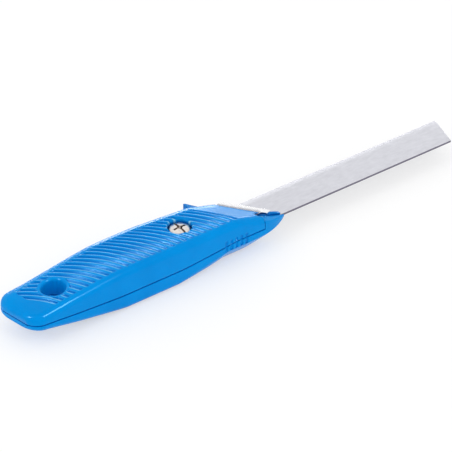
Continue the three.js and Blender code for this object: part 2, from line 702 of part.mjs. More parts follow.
const knife = new THREE.Group();
knife.add(
  toMesh('lower_shell', lowerShell(), bluePlastic),
  toMesh('screw_nut', screwNut(), zincSteel),
  cover,
  slider,
);
knife.position.set(-ORIGIN_X, 0, LAND_DEPTH);

const part = new THREE.Group();
part.add(knife);

export default part;
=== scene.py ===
import math

import bmesh
import bpy
from mathutils import Matrix, Vector


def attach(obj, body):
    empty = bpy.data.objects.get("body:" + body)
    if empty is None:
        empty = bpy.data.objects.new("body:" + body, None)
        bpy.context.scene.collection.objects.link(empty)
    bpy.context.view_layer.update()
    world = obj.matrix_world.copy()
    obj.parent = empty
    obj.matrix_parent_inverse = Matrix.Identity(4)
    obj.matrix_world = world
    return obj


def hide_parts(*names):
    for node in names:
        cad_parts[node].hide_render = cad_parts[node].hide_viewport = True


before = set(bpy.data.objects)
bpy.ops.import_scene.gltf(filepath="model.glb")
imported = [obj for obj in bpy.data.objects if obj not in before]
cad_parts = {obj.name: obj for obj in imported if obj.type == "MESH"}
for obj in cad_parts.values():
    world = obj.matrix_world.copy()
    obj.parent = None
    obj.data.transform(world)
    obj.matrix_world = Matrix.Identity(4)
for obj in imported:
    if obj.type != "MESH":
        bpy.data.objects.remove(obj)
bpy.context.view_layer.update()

# Sizes below are in millimetres, in the handle's own frame: the screw's axis is x = y = 0, the blade's
# middle plane is z = 0, +X runs to the blade's tip and +Y to its cutting edge.
MM = 0.001
ROW_ORIGIN = Vector((-21.8, 0.0, -10.2))

# Camera of the photograph
CAMERA_PLACE = Vector((-430.8, -605.0, 529.6))
CAMERA_HEADING = 37.0
CAMERA_ELEVATION = 35.0
CAMERA_LENS = 167.3
SENSOR_WIDTH = 36.0

# Outline of the handle in plan
TAIL_X = -86.3
TAIL_TRIM = 0.12
TAIL_END = -87.0
TAIL_NEAR_CORNER = 6.0
TAIL_FAR_CORNER = 7.4
TAIL_SKEW = 0.2
TAIL_SKEW_FROM = -60.0
TAIL_SKEW_TO = -80.0
BEAK_TIP = 50.0
BEAK_START = 36.2
BEAK_TIP_HALF = 9.7
NEAR_HALF = 14.0
FAR_HALF = 13.0
FAR_WIDEST_X = -19.0
FAR_TAIL_NARROWING = 3.3
FAR_NOSE_SLOPE = 0.1
NOSE_FAR_HALF = 10.9
MOUTH_X = 32.4
MOUTH_LEAN = math.tan(math.radians(37.0))
NOSE_SOFTNESS = 6.0
TAIL_SOFTNESS = 4.0
TAIL_DROP = 0.3

# Outline of the handle in height
TOP_HEIGHT = 10.3
TOP_FLAT_REAR = -38.0
TOP_TAIL_SLOPE = 0.12
LAND_DEPTH = 10.2
LAND_REAR = -36.0
LAND_FRONT = 26.0
LAND_TAIL_SLOPE = 0.165
LAND_SOFTNESS = 3.0
LAND_DROP_SHARE = 0.5
BEAK_TIP_DEPTH = 1.8
BEAK_TOP = 4.7
BEAK_TIP_TOP = 0.4
BEAK_LIP = 0.9
LIP_SHARE = 0.4
CREST_STEP = 0.2
SHOULDER = 3.2
SHOULDER_SHARE = 0.4
SHOULDER_FULLNESS = 2.0
LEAST_WALL = 0.3
KEEL_HALF = 4.5
KEEL_START = -10.0
KEEL_END = 16.5
KEEL_RISE = 0.75
KEEL_FULLNESS = 1.1
PARTING_DIP = 2.0
PARTING_TAIL_SLOPE = 0.068
PARTING_NOSE_SLOPE = 0.1
PARTING_NOSE = 0.6
HALF_GAP = 0.15
PARTING_ROUND = 0.4
ROUND_MIDDLE = 0.29
FACET_X = 16.3
FACET_LIP = 5.7
FACET_SOFTNESS = 0.7
FACET_FAR_ROUND = 2.4
FACET_NEAR_ROUND = 4.0
FACET_LEAN = 0.1
FACET_LEAN_WIDTH = 3.5
FACET_LEAN_SOFTNESS = 2.5
FAR_BEVEL_WIDTH = 3.8
FAR_BEVEL_SLOPE = math.tan(math.radians(18.0))
FAR_BEVEL_SOFTNESS = 0.25

# Inside of the handle
WALL = 2.6
RIB = 2.0
RIB_XS = (-52.0, -38.0, -24.0, -11.0, 11.0)
NOSE_BLOCK_X = 15.0
CORE_FRONT = 22.0
CORE_OVERLAP = 1.0
CORE_STEP = 3.0
CORE_EVERY = 3
CHANNEL_REAR = -34.0
CHANNEL_HALF = 9.5
CHANNEL_FLOOR = -0.8
CARRIER_ROOF = 3.9
PLATE_ROOF = 5.0
PLATE_REAR = 8.7
LOWER_MOUTH_X = MOUTH_X + 1.4
TAB_WAY = (-6.4, 19.4)
BEAK_GAP = 0.3
RAIL_GAP = 0.3
RAIL_INTO_NOSE = 1.0
JOIN_OVERLAP = 0.5
FINGER_NOTCH = 2.4
BOSS_RADIUS = 3.7
BOSS_BOTTOM = -0.5
STAKE_RADIUS = 1.4
STAKES = ((17.0, -5.6), (17.0, 5.6))
STAKE_BOTTOM = 3.9
STAKE_SIDES = 32

# Screw and nut seats
SHANK_HOLE = 2.8
COUNTERBORE = 5.4
COUNTERBORE_FLOOR = 5.6
COUNTERBORE_FLARE = ((0.0, -1.1), (0.12, -0.75), (0.45, -0.2), (1.0, 0.6))
NUT_POCKET = 4.965
NUT_BOSS = 6.96
NUT_FLOOR = -5.5
NUT_SIDES = 6
HEAD_WALL = 7.4

# Hang hole
HANG_X = -66.0
HANG_Y = -1.5
HANG_RADIUS = 5.2
HANG_RIM = 1.2
HANG_WALL = 7.8

# Grip grooves and thumb notches
GROOVE_PITCH = 3.36
GROOVE_COUNT = 29
GROOVE_WIDTH = 1.5
GROOVE_DEPTH = 0.8
GROOVE_WALL = 0.35
# Width of the painted highlight on each ridge's front edge
HIGHLIGHT_WIDTH = 0.8
GROOVE_CROWN = 0.2
GROOVE_END = 0.4
GROOVE_RADIUS = 48.0
GROOVE_CENTRE = (-22.1, -28.1)
GROOVE_MARGIN = 3.4
GROOVE_FAR_MARGIN = 4.0
GROOVE_REAR = TAIL_X + 8.0
GROOVE_FRONT = 25.0
GROOVE_FRONT_BELOW = -9.0
GROOVE_RING = HANG_RADIUS + HANG_RIM + 0.4
THUMB_FIRST_X = 15.0
THUMB_PITCH = 2.75
THUMB_COUNT = 5
THUMB_HALF_HEIGHT = 2.7
THUMB_RADIUS = 0.7
THUMB_SHALLOW = 0.7
THUMB_FADE = 0.8

# Screw
HEAD_RADIUS = 5.0
HEAD_SEAT = 5.9
HEAD_HEIGHT = 3.3
HEAD_EDGE = 2.0
SHANK_RADIUS = 2.5
SHANK_END = -9.6
SHANK_POINT = 0.6
HEAD_BREAK = 0.25
HEAD_STEPS = 14
DRIVE_WIDTH = 1.0
DRIVE_LENGTH = 6.0
DRIVE_DEPTH = 1.4
SLOT_SHARE = 0.75
PIT_TIP_RADIUS = 0.5
PIT_RADIUS = 1.25
PIT_MOUTH_RADIUS = 1.3
PIT_TIP_SHARE = 1.3
PIT_WALL_SHARE = 0.4
PIT_CLEAR = 2.0
PIT_SIDES = 24

# The grip's outer skin begins this far from the parting level
SKIN_FROM = 4.5

# Floor and lights, in metres and watts in the row frame
FRONT_LIGHT = (0.14, -0.8, 0.86)
LEFT_LIGHT = (-0.84, 0.12, 0.86)
BACK_LIGHT = (0.92, 1.04, 0.11)
OBJECT_MIDDLE = (0.02, 0.0, 0.01)
FLOOR_GLOW = 0.5
FLOOR_HALF = 6.0
LAMP_SIZE = 0.4
LAMP_POWER = 1.4
BACK_WIDTH = 1.8
BACK_HEIGHT = 0.1
BACK_POWER = 6.3
SPARKLE_SIZE = 0.12
SPARKLE_POWER = 28.0
SKY_LIGHT = 0.92

# Fineness of the meshes
STATION_STEP = 0.2
STATION_GAP = 0.02
TOP_STEPS = 110
WALL_STEPS = 18
CORNER_STEPS = 9
FAR_STEPS = 8
SIDES = 72
FINE_SIDES = 96
WELD = 0.004
DOUBLE_POINT = 1e-5
DOUBLE_CAD_POINT = 1e-7
FLAT_ANGLE = 1.0
BEVEL_ANGLE = 35.0
SHARP_ANGLE = 42.0

# Reach of the cutters, past the pieces they cut
FAR_AWAY = 300.0
LOW = -60.0
HIGH = 60.0
PAST_NOSE = 90.0

# Materials, with lengths in metres
# Lighter blue of the painted highlight on the ridges' front edges
RIDGE_HIGHLIGHT_BLUE = (0.28, 0.72, 0.96, 1.0)
# Colour of the painted shade in the plastic's creases
PLASTIC_CREASE_SHADE = (0.15, 0.36, 0.68)
# Colour of the painted shade on the blade's back
BACK_SHADE_STEEL = (0.3, 0.28, 0.34)
WHITE = (1.0, 1.0, 1.0)
# Reach of the painted crease shade, and the occlusion above which none is painted
CREASE_REACH = 0.0016
CREASE_OPEN = 0.95
CLOUD_SCALE = 60.0
SMUDGE_SCALE = 180.0
GRAIN_SCALE = 4200.0
NO_STRETCH = (1.0, 1.0, 1.0)


# Shape of the handle

def smooth(t):
    u = min(max(t, 0.0), 1.0)
    return u * u * (3.0 - 2.0 * u)


def lerp(a, b, t):
    return a + (b - a) * t


def soft_ramp(u, slope, softness):
    return slope * u * u / (u + softness) if u > 0.0 else 0.0


def soft_min(a, b, softness):
    h = max(softness - abs(a - b), 0.0) / softness
    return min(a, b) - h * h * softness * 0.25


def rolled(distance, radius):
    inside = max(radius - distance, 0.0)
    return radius - math.sqrt(max(radius * radius - inside * inside, 0.0))


def tail_inset(x, radius):
    return rolled(x - TAIL_X, radius)


def near_side(x):
    t = max(0.0, (x - BEAK_START) / (BEAK_TIP - BEAK_START))
    return -NEAR_HALF + (NEAR_HALF - BEAK_TIP_HALF) * t * t + tail_inset(x, TAIL_NEAR_CORNER)


def far_side(x):
    back = max(0.0, (FAR_WIDEST_X - x) / (FAR_WIDEST_X - TAIL_X))
    nose = soft_ramp(x - FAR_WIDEST_X, FAR_NOSE_SLOPE, NOSE_SOFTNESS)
    width = FAR_HALF - FAR_TAIL_NARROWING * back * back - nose
    return max(width, NOSE_FAR_HALF) - tail_inset(x, TAIL_FAR_CORNER)


def parting(x):
    tail = soft_ramp(TOP_FLAT_REAR - x, PARTING_TAIL_SLOPE, TAIL_SOFTNESS)
    nose = soft_ramp(x - KEEL_START, PARTING_NOSE_SLOPE, NOSE_SOFTNESS)
    return min(tail + nose - PARTING_DIP, PARTING_NOSE)


def tail_drop(x):
    return TAIL_DROP * tail_inset(x, TAIL_NEAR_CORNER)


def top_height(x):
    return TOP_HEIGHT - soft_ramp(TOP_FLAT_REAR - x, TOP_TAIL_SLOPE, TAIL_SOFTNESS) - tail_drop(x)


def land_depth(x):
    rise = max(0.0, (x - LAND_FRONT) / (BEAK_TIP - LAND_FRONT)) ** 2
    tail = soft_ramp(LAND_REAR - x, LAND_TAIL_SLOPE, LAND_SOFTNESS)
    return LAND_DEPTH - (LAND_DEPTH - BEAK_TIP_DEPTH) * rise - tail - LAND_DROP_SHARE * tail_drop(x)


# The sloping facet on the nose, rolled over along both sides
def facet(x, y):
    slope = (TOP_HEIGHT - FACET_LIP) / (MOUTH_X - FACET_X)
    plane = TOP_HEIGHT - slope * (x + MOUTH_LEAN * y - FACET_X)
    from_far = far_side(x) - y
    lean = FACET_LEAN * (from_far - soft_ramp(from_far - FACET_LEAN_WIDTH, 1.0, FACET_LEAN_SOFTNESS))
    far = rolled(from_far, FACET_FAR_ROUND)
    return plane - lean - far - rolled(y - near_side(x), FACET_NEAR_ROUND)


# The flat bevel between the top and the far shoulder
def far_bevel(x, y):
    return top_height(x) - FAR_BEVEL_SLOPE * (FAR_BEVEL_WIDTH - far_side(x) + y)


def beak_top(x):
    return lerp(BEAK_TOP, BEAK_TIP_TOP, (x - BEAK_START) / (BEAK_TIP - BEAK_START))


def tail_skew(x):
    return TAIL_SKEW * smooth((TAIL_SKEW_FROM - x) / (TAIL_SKEW_FROM - TAIL_SKEW_TO))


# How far a point lies behind the middle of the nearest arced groove, and half the pitch there
def groove_offset(x, y):
    reach = math.sqrt(GROOVE_RADIUS ** 2 - (y - GROOVE_CENTRE[1]) ** 2)
    turn = (GROOVE_CENTRE[0] - (x - reach)) / GROOVE_PITCH
    nearest = min(max(round(turn), 0), GROOVE_COUNT - 1)
    spread = GROOVE_PITCH * reach / GROOVE_RADIUS
    return (turn - nearest) * spread, spread / 2.0


# Share of the full groove at a point of the field, fading out over its border
def groove_field(x, y, front):
    inside = min(
        y - near_side(x) - GROOVE_MARGIN,
        far_side(x) - GROOVE_FAR_MARGIN - y,
        x - GROOVE_REAR,
        front - x,
        math.hypot(x - HANG_X, y - HANG_Y) - GROOVE_RING,
    )
    return smooth(0.5 + inside / (2.0 * GROOVE_END))


# Depth of the grooves, with the ridges between them crowned
def groove_depth(x, y, front):
    behind, half_pitch = groove_offset(x, y)
    half_groove = GROOVE_WIDTH / 2.0
    beside = min(max((half_pitch - abs(behind)) / (half_pitch - half_groove), 0.0), 1.0)
    wall = (GROOVE_DEPTH - GROOVE_CROWN) * smooth((half_groove - abs(behind)) / GROOVE_WALL)
    return (GROOVE_CROWN * beside ** 2 + wall) * groove_field(x, y, front)


# Painted highlight: share of a lighter blue on the front edge of each ridge
def ridge_highlight(x, y, front):
    behind = groove_offset(x, y)[0] - GROOVE_WIDTH / 2.0
    rise = smooth((behind + HIGHLIGHT_WIDTH / 3.0) / (HIGHLIGHT_WIDTH / 3.0))
    return rise * (1.0 - smooth(behind / HIGHLIGHT_WIDTH)) * groove_field(x, y, front)


# The rolled rim of the hang hole
def rim_drop(x, y):
    return rolled(math.hypot(x - HANG_X, y - HANG_Y) - HANG_RADIUS, HANG_RIM)


# Depth of the thumb notches at a point of the near side wall
def notch_depth(x, z):
    nearest = min(max(round((x - THUMB_FIRST_X) / THUMB_PITCH), 0), THUMB_COUNT - 1)
    off = abs(x - THUMB_FIRST_X - nearest * THUMB_PITCH)
    across = math.sqrt(max(THUMB_RADIUS ** 2 - off * off, 0.0))
    return THUMB_SHALLOW * across * smooth(0.5 + (THUMB_HALF_HEIGHT - abs(z)) / THUMB_FADE)


def corner(y, inward, height, across, up, fullness):
    points = []
    for i in range(CORNER_STEPS + 1):
        a = math.pi / 2.0 * i / CORNER_STEPS
        u = max(math.cos(a), 0.0) ** (2.0 / fullness)
        w = math.sin(a) ** (2.0 / fullness)
        points.append((y + inward * across * (1.0 - u), height - up * (1.0 - w)))
    return points


def row(a, b, steps):
    return [(lerp(a[0], b[0], i / steps), lerp(a[1], b[1], i / steps)) for i in range(1, steps)]


# The face of a half, from the near wall over the top or bottom to the far wall, as (y, height) points
def face_points(x, side, inset, near_base, far_base):
    near = near_side(x) + inset
    far = far_side(x) - inset
    height = (top_height(x) if side > 0 else land_depth(x)) - inset
    base = max(near_base, far_base)
    keel = 0.0 if side > 0 else min(max((x - KEEL_START) / (KEEL_END - KEEL_START), 0.0), 1.0)
    shoulder = min(SHOULDER, SHOULDER_SHARE * (far - near))
    across = lerp(shoulder, min(-near, far) - KEEL_HALF, keel)
    up = min(lerp(SHOULDER, KEEL_RISE * height, keel), height - base - LEAST_WALL)
    fullness = lerp(SHOULDER_FULLNESS, KEEL_FULLNESS, keel)
    left = corner(near, 1.0, height, across, up, fullness)
    right = corner(far, -1.0, height, across, up, fullness)[::-1]
    return {
        "near_wall": row((near, near_base), left[0], WALL_STEPS),
        "near_corner": left,
        "top": row(left[-1], right[0], TOP_STEPS),
        "far_corner": right,
        "far_wall": row(right[-1], (far, far_base), FAR_STEPS),
    }


def upper_ring(x):
    base = parting(x) + HALF_GAP + rolled(x - TAIL_X, PARTING_ROUND)
    edge = PARTING_ROUND
    parts = face_points(x, 1, 0.0, base + edge, base + edge)
    near = near_side(x)
    far = far_side(x)
    near_top = min(parts["near_corner"][0][1], facet(x, near))
    far_top = min(parts["far_corner"][-1][1], facet(x, far))
    near_wall = row((near, base + edge), (near, near_top), WALL_STEPS)
    ring = [(near + edge, base), (near + ROUND_MIDDLE * edge, base + ROUND_MIDDLE * edge)]
    ring += [(y + notch_depth(x, z), z) for y, z in [(near, base + edge)] + near_wall]
    for key in ("near_corner", "top", "far_corner"):
        for y, z in parts[key]:
            lowered = soft_min(z, far_bevel(x, y), FAR_BEVEL_SOFTNESS)
            if x > 0.0:
                lowered = soft_min(lowered, facet(x, y), FACET_SOFTNESS)
            ring.append((y, lowered - groove_depth(x, y, GROOVE_FRONT) - rim_drop(x, y)))
    ring += row((far, far_top), (far, base + edge), FAR_STEPS)
    ring += [(far, base + edge), (far - ROUND_MIDDLE * edge, base + ROUND_MIDDLE * edge), (far - edge, base)]
    return [(max(x - tail_skew(x) * y, TAIL_END), y, z) for y, z in ring]


def lower_ring(x):
    base = parting(x) - HALF_GAP - rolled(x - TAIL_X, PARTING_ROUND)
    edge = PARTING_ROUND
    is_beak = x >= BEAK_START
    crest = beak_top(x) if is_beak else base
    near = near_side(x)
    far = far_side(x)
    inner = -CHANNEL_HALF
    lip = min(BEAK_LIP if is_beak else edge, LIP_SHARE * (inner - near))
    parts = face_points(x, -1, 0.0, -(crest - lip), -(base - edge))
    ring = [(near + lip, crest), (near + ROUND_MIDDLE * lip, crest - ROUND_MIDDLE * lip)]
    ring += [(near, crest - lip)]
    ring += [(y, -z) for y, z in parts["near_wall"]]
    if THUMB_FIRST_X - THUMB_PITCH < x < BEAK_START:
        ring = [(y + notch_depth(x, z), z) for y, z in ring]
    for key in ("near_corner", "top", "far_corner"):
        for y, z in parts[key]:
            ring.append((y, -z + groove_depth(x, y, GROOVE_FRONT_BELOW) + rim_drop(x, y)))
    ring += [(y, -z) for y, z in parts["far_wall"]]
    ring += [(far, base - edge), (far - ROUND_MIDDLE * edge, base - ROUND_MIDDLE * edge), (far - edge, base)]
    ring += [(inner + CREST_STEP, base), (inner, lerp(base, crest, 0.5)), (inner, crest)]
    return [(max(x - tail_skew(x) * y, TAIL_END), y, z) for y, z in ring]


def core_ring(x, side):
    base = side * parting(x) - CORE_OVERLAP
    parts = face_points(x, side, WALL, base, base)
    near = near_side(x) + WALL
    far = far_side(x) - WALL
    corners = parts["near_corner"][::CORE_EVERY] + parts["far_corner"][::CORE_EVERY]
    ring = [(near, base)] + corners + [(far, base)]
    return [(x - tail_skew(x) * y, y, side * z) for y, z in ring]


def stations(first, last, step):
    count = max(2, round((last - first) / step))
    return [lerp(first, last, i / count) for i in range(count + 1)]


# Meshes

def new_object(name, vertices, faces):
    mesh = bpy.data.meshes.new(name)
    mesh.from_pydata(vertices, [], faces)
    mesh.validate()
    bm = bmesh.new()
    bm.from_mesh(mesh)
    bmesh.ops.remove_doubles(bm, verts=bm.verts, dist=DOUBLE_POINT)
    bmesh.ops.recalc_face_normals(bm, faces=bm.faces)
    bm.to_mesh(mesh)
    bm.free()
    obj = bpy.data.objects.new(name, mesh)
    bpy.context.scene.collection.objects.link(obj)
    return obj


def loft(name, rings):
    count = len(rings[0])
    vertices = [point for ring in rings for point in ring]
    faces = []
    for s in range(len(rings) - 1):
        for i in range(count):
            a = s * count + i
            b = s * count + (i + 1) % count
            faces.append((a, b, b + count, a + count))
    last = (len(rings) - 1) * count
    faces.append(tuple(range(count)))
    faces.append(tuple(range(last, last + count)))
    return new_object(name, vertices, faces)


def box(x0, x1, y0, y1, z0, z1):
    ring = [(y0, z0), (y1, z0), (y1, z1), (y0, z1)]
    return loft("box", [[(x, y, z) for y, z in ring] for x in (x0, x1)])


def prism(points, z0, z1):
    return loft("prism", [[(x, y, z) for x, y in points] for z in (z0, z1)])


def turned(profile, x, y, sides=SIDES):
    rings = []
    for r, z in profile:
        angles = [2.0 * math.pi * i / sides for i in range(sides)]
        rings.append([(x + r * math.cos(a), y + r * math.sin(a), z) for a in angles])
    return loft("turned", rings)


def post(radius, x, y, z0, z1, sides=SIDES):
    return turned([(radius, z0), (radius, z1)], x, y, sides)


def past_slant(x):
    lean = MOUTH_LEAN * FAR_AWAY
    return prism([
        (x - lean, FAR_AWAY),
        (x + lean, -FAR_AWAY),
        (x + lean + 2.0 * FAR_AWAY, -FAR_AWAY),
        (x - lean + 2.0 * FAR_AWAY, FAR_AWAY),
    ], -FAR_AWAY, FAR_AWAY)


def combine(target, tool, operation):
    modifier = target.modifiers.new("combine", "BOOLEAN")
    modifier.operation = operation
    modifier.solver = "MANIFOLD"
    modifier.object = tool
    depsgraph = bpy.context.evaluated_depsgraph_get()
    mesh = bpy.data.meshes.new_from_object(target.evaluated_get(depsgraph))
    target.modifiers.clear()
    target.data = mesh
    bpy.data.objects.remove(tool)
    return target


def cut(target, *tools):
    for tool in tools:
        combine(target, tool, "DIFFERENCE")
    return target


def join(target, *tools):
    for tool in tools:
        combine(target, tool, "UNION")
    return target


# Welds points that lie closer than a distance and splits faces with many sides, so no slivers are left
def weld(mesh, distance):
    bm = bmesh.new()
    bm.from_mesh(mesh)
    bmesh.ops.remove_doubles(bm, verts=bm.verts, dist=distance)
    bmesh.ops.dissolve_degenerate(bm, edges=bm.edges, dist=distance)
    many_sided = [face for face in bm.faces if len(face.verts) > 4]
    bmesh.ops.triangulate(bm, faces=many_sided)
    bm.to_mesh(mesh)
    bm.free()


# Moves a finished piece from the handle's frame to the row frame and gives it its place in the object
def place(obj, name, node, body, material, sharp=SHARP_ANGLE):
    obj.name = name
    obj.data.name = name
    weld(obj.data, WELD)
    obj.data.transform(Matrix.Scale(MM, 4) @ Matrix.Translation(-ROW_ORIGIN))
    return dress(obj, node, body, material, sharp)


def dress(obj, node, body, material, sharp=SHARP_ANGLE):
    obj.data.materials.clear()
    obj.data.materials.append(material)
    for polygon in obj.data.polygons:
        polygon.use_smooth = True
    obj.data.set_sharp_from_angle(angle=math.radians(sharp))
    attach(obj, body)
    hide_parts(node)
    return obj


# A CAD solid with its edges broken
def softened(node, name, width, segments=3):
    obj = bpy.data.objects.new(name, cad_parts[node].data.copy())
    bpy.context.scene.collection.objects.link(obj)
    bm = bmesh.new()
    bm.from_mesh(obj.data)
    bmesh.ops.remove_doubles(bm, verts=bm.verts, dist=DOUBLE_CAD_POINT)
    bmesh.ops.dissolve_limit(bm, angle_limit=math.radians(FLAT_ANGLE), verts=bm.verts, edges=bm.edges)
    bm.to_mesh(obj.data)
    bm.free()
    bevel = obj.modifiers.new("edges", "BEVEL")
    bevel.width = width * MM
    bevel.segments = segments
    bevel.limit_method = "ANGLE"
    bevel.angle_limit = math.radians(BEVEL_ANGLE)
    bevel.miter_outer = "MITER_ARC"
    bevel.use_clamp_overlap = True
    depsgraph = bpy.context.evaluated_depsgraph_get()
    mesh = bpy.data.meshes.new_from_object(obj.evaluated_get(depsgraph))
    obj.modifiers.clear()
    weld(mesh, WELD * MM)
    obj.data = mesh
    flatten = obj.modifiers.new("flat_faces", "WEIGHTED_NORMAL")
    flatten.keep_sharp = True
    return obj


# Shaders

def new_material(name):
    material = bpy.data.materials.new(name)
    material.use_nodes = True
    return material, material.node_tree.nodes, material.node_tree.links


def colour_ramp(nodes, stops):
    ramp = nodes.new("ShaderNodeValToRGB")
    for i, (position, colour) in enumerate(stops):
        if i > 1:
            ramp.color_ramp.elements.new(position)
        ramp.color_ramp.elements[i].position = position
        ramp.color_ramp.elements[i].color = (*colour, 1.0)
    return ramp


def noise(nodes, links, scale, detail=3.0, stretch=NO_STRETCH):
    place_node = nodes.new("ShaderNodeTexCoord")
    mapping = nodes.new("ShaderNodeMapping")
    mapping.inputs["Scale"].default_value = stretch
    texture = nodes.new("ShaderNodeTexNoise")
    texture.inputs["Scale"].default_value = scale
    texture.inputs["Detail"].default_value = detail
    links.new(place_node.outputs["Object"], mapping.inputs["Vector"])
    links.new(mapping.outputs["Vector"], texture.inputs["Vector"])
    return texture


def multiplied(nodes, links, colour, shade):
    shaded = nodes.new("ShaderNodeMix")
    shaded.data_type = "RGBA"
    shaded.blend_type = "MULTIPLY"
    shaded.inputs["Factor"].default_value = 1.0
    links.new(colour, shaded.inputs["A"])
    links.new(shade, shaded.inputs["B"])
    return shaded.outputs["Result"]


def vary_roughness(nodes, links, shader, texture, low, high):
    gloss = nodes.new("ShaderNodeMapRange")
    gloss.inputs["To Min"].default_value = low
    gloss.inputs["To Max"].default_value = high
    links.new(texture.outputs["Fac"], gloss.inputs["Value"])
    links.new(gloss.outputs["Result"], shader.inputs["Roughness"])


def bumped(nodes, links, shader, texture, strength, distance):
    bump = nodes.new("ShaderNodeBump")
    bump.inputs["Strength"].default_value = strength
    bump.inputs["Distance"].default_value = distance
    links.new(texture.outputs["Fac"], bump.inputs["Height"])
    links.new(bump.outputs["Normal"], shader.inputs["Normal"])
    return bump


# Painted shade in narrow places: ambient occlusion darkens the colour
def painted_crease_shade(nodes, links, colour, closed, tint):
    creases = nodes.new("ShaderNodeAmbientOcclusion")
    creases.samples = 8
    creases.inputs["Distance"].default_value = CREASE_REACH
    shade = colour_ramp(nodes, [(closed, tint), (CREASE_OPEN, WHITE)])
    links.new(creases.outputs["AO"], shade.inputs["Fac"])
    return multiplied(nodes, links, colour, shade.outputs["Color"])


def plastic(name, deep, main, pale):
    material, nodes, links = new_material(name)
    shader = nodes["Principled BSDF"]
    shader.inputs["Specular IOR Level"].default_value = 0.08
    shader.inputs["Specular Tint"].default_value = (0.3, 0.7, 1.0, 1.0)
    shader.inputs["Sheen Weight"].default_value = 0.12
    shader.inputs["Sheen Roughness"].default_value = 0.25
    shader.inputs["Sheen Tint"].default_value = (0.6, 0.9, 1.0, 1.0)
    cloud = noise(nodes, links, CLOUD_SCALE, detail=4.0)
    colours = colour_ramp(nodes, [(0.3, deep), (0.5, main), (0.72, pale)])
    links.new(cloud.outputs["Fac"], colours.inputs["Fac"])
    # Painted highlight: a lighter blue mixed in on the ridges' front edges
    painted_highlight = nodes.new("ShaderNodeAttribute")
    painted_highlight.attribute_name = "painted_highlight"
    highlighted = nodes.new("ShaderNodeMix")
    highlighted.data_type = "RGBA"
    highlighted.inputs["B"].default_value = RIDGE_HIGHLIGHT_BLUE
    links.new(painted_highlight.outputs["Fac"], highlighted.inputs["Factor"])
    links.new(colours.outputs["Color"], highlighted.inputs["A"])
    # Painted shade in the creases, grooves and notches
    shaded = painted_crease_shade(nodes, links, highlighted.outputs["Result"], closed=0.35, tint=PLASTIC_CREASE_SHADE)
    links.new(shaded, shader.inputs["Base Color"])
    smudge = noise(nodes, links, SMUDGE_SCALE, detail=5.0)
    vary_roughness(nodes, links, shader, smudge, low=0.14, high=0.22)
    grain = noise(nodes, links, GRAIN_SCALE, detail=2.0)
    bump = bumped(nodes, links, shader, grain, strength=0.06, distance=0.0002)
    rounded = nodes.new("ShaderNodeBevel")
    rounded.samples = 6
    rounded.inputs["Radius"].default_value = 0.00035
    links.new(rounded.outputs["Normal"], bump.inputs["Normal"])
    return material


# Painted shade: darker steel on faces that look to -Y, the blade's back
def painted_back_shade(nodes, links, colour):
    surface = nodes.new("ShaderNodeNewGeometry")
    parts = nodes.new("ShaderNodeSeparateXYZ")
    shade = colour_ramp(nodes, [(0.0, WHITE), (0.9, BACK_SHADE_STEEL)])
    away = nodes.new("ShaderNodeMath")
    away.operation = "MULTIPLY"
    away.inputs[1].default_value = -1.0
    links.new(surface.outputs["Normal"], parts.inputs["Vector"])
    links.new(parts.outputs["Y"], away.inputs[0])
    links.new(away.outputs["Value"], shade.inputs["Fac"])
    return multiplied(nodes, links, colour, shade.outputs["Color"])


# Metal whose colour is darkened with painted shade in its creases
def steel(name, dark, light, low, high, stretch, scale, closed, tint, back=False):
    material, nodes, links = new_material(name)
    shader = nodes["Principled BSDF"]
    shader.inputs["Metallic"].default_value = 1.0
    lines = noise(nodes, links, scale, detail=6.0, stretch=stretch)
    colours = colour_ramp(nodes, [(0.25, dark), (0.75, light)])
    links.new(lines.outputs["Fac"], colours.inputs["Fac"])
    shaded = painted_crease_shade(nodes, links, colours.outputs["Color"], closed, tint)
    # Painted shade on the faces that look to -Y
    if back:
        shaded = painted_back_shade(nodes, links, shaded)
    links.new(shaded, shader.inputs["Base Color"])
    vary_roughness(nodes, links, shader, lines, low, high)
    bumped(nodes, links, shader, lines, strength=0.08, distance=0.0001)
    return material


blue_plastic = plastic("blue_plastic", (0.0, 0.24, 0.67), (0.0, 0.26, 0.71), (0.0, 0.28, 0.74))
# Painted shade: a darker copy of the blue plastic, used on the carrier
dark_blue_plastic = plastic("dark_blue_plastic", (0.0, 0.17, 0.54), (0.0, 0.19, 0.58), (0.0, 0.21, 0.62))
# The closed and tint arguments set each metal's painted crease shade, the plate's darkest along the lip
blade_steel = steel(
    "blade_steel", dark=(0.575, 0.578, 0.622), light=(0.665, 0.668, 0.715), low=0.32, high=0.42,
    stretch=(0.4, 1.0, 1.0), scale=700.0, closed=0.35, tint=(0.2, 0.16, 0.14), back=True,
)
plate_steel = steel(
    "plate_steel", dark=(0.82, 0.82, 0.83), light=(0.9, 0.9, 0.91), low=0.16, high=0.26,
    stretch=(1.0, 0.2, 1.0), scale=700.0, closed=0.72, tint=(0.04, 0.07, 0.14),
)
zinc_steel = steel(
    "zinc_steel", dark=(0.68, 0.63, 0.59), light=(0.92, 0.87, 0.83), low=0.22, high=0.38,
    stretch=NO_STRETCH, scale=800.0, closed=0.3, tint=(0.26, 0.2, 0.17),
)


# Writes the painted highlight of the ridges on the points of a finished half, which is still in the handle's
# frame
def paint_ridge_highlight(half, front):
    painted_highlight = half.data.attributes.new("painted_highlight", "FLOAT", "POINT")
    for vertex, value in zip(half.data.vertices, painted_highlight.data):
        x, y, z = vertex.co
        straight = x + tail_skew(x) * y
        is_skin = TAIL_X < straight < BEAK_START and abs(z - parting(straight)) > SKIN_FROM
        value.value = ridge_highlight(straight, y, front) if is_skin else 0.0
    return half


# The two halves of the handle

def hang_hole():
    return post(HANG_RADIUS, HANG_X, HANG_Y, LOW, HIGH, FINE_SIDES)


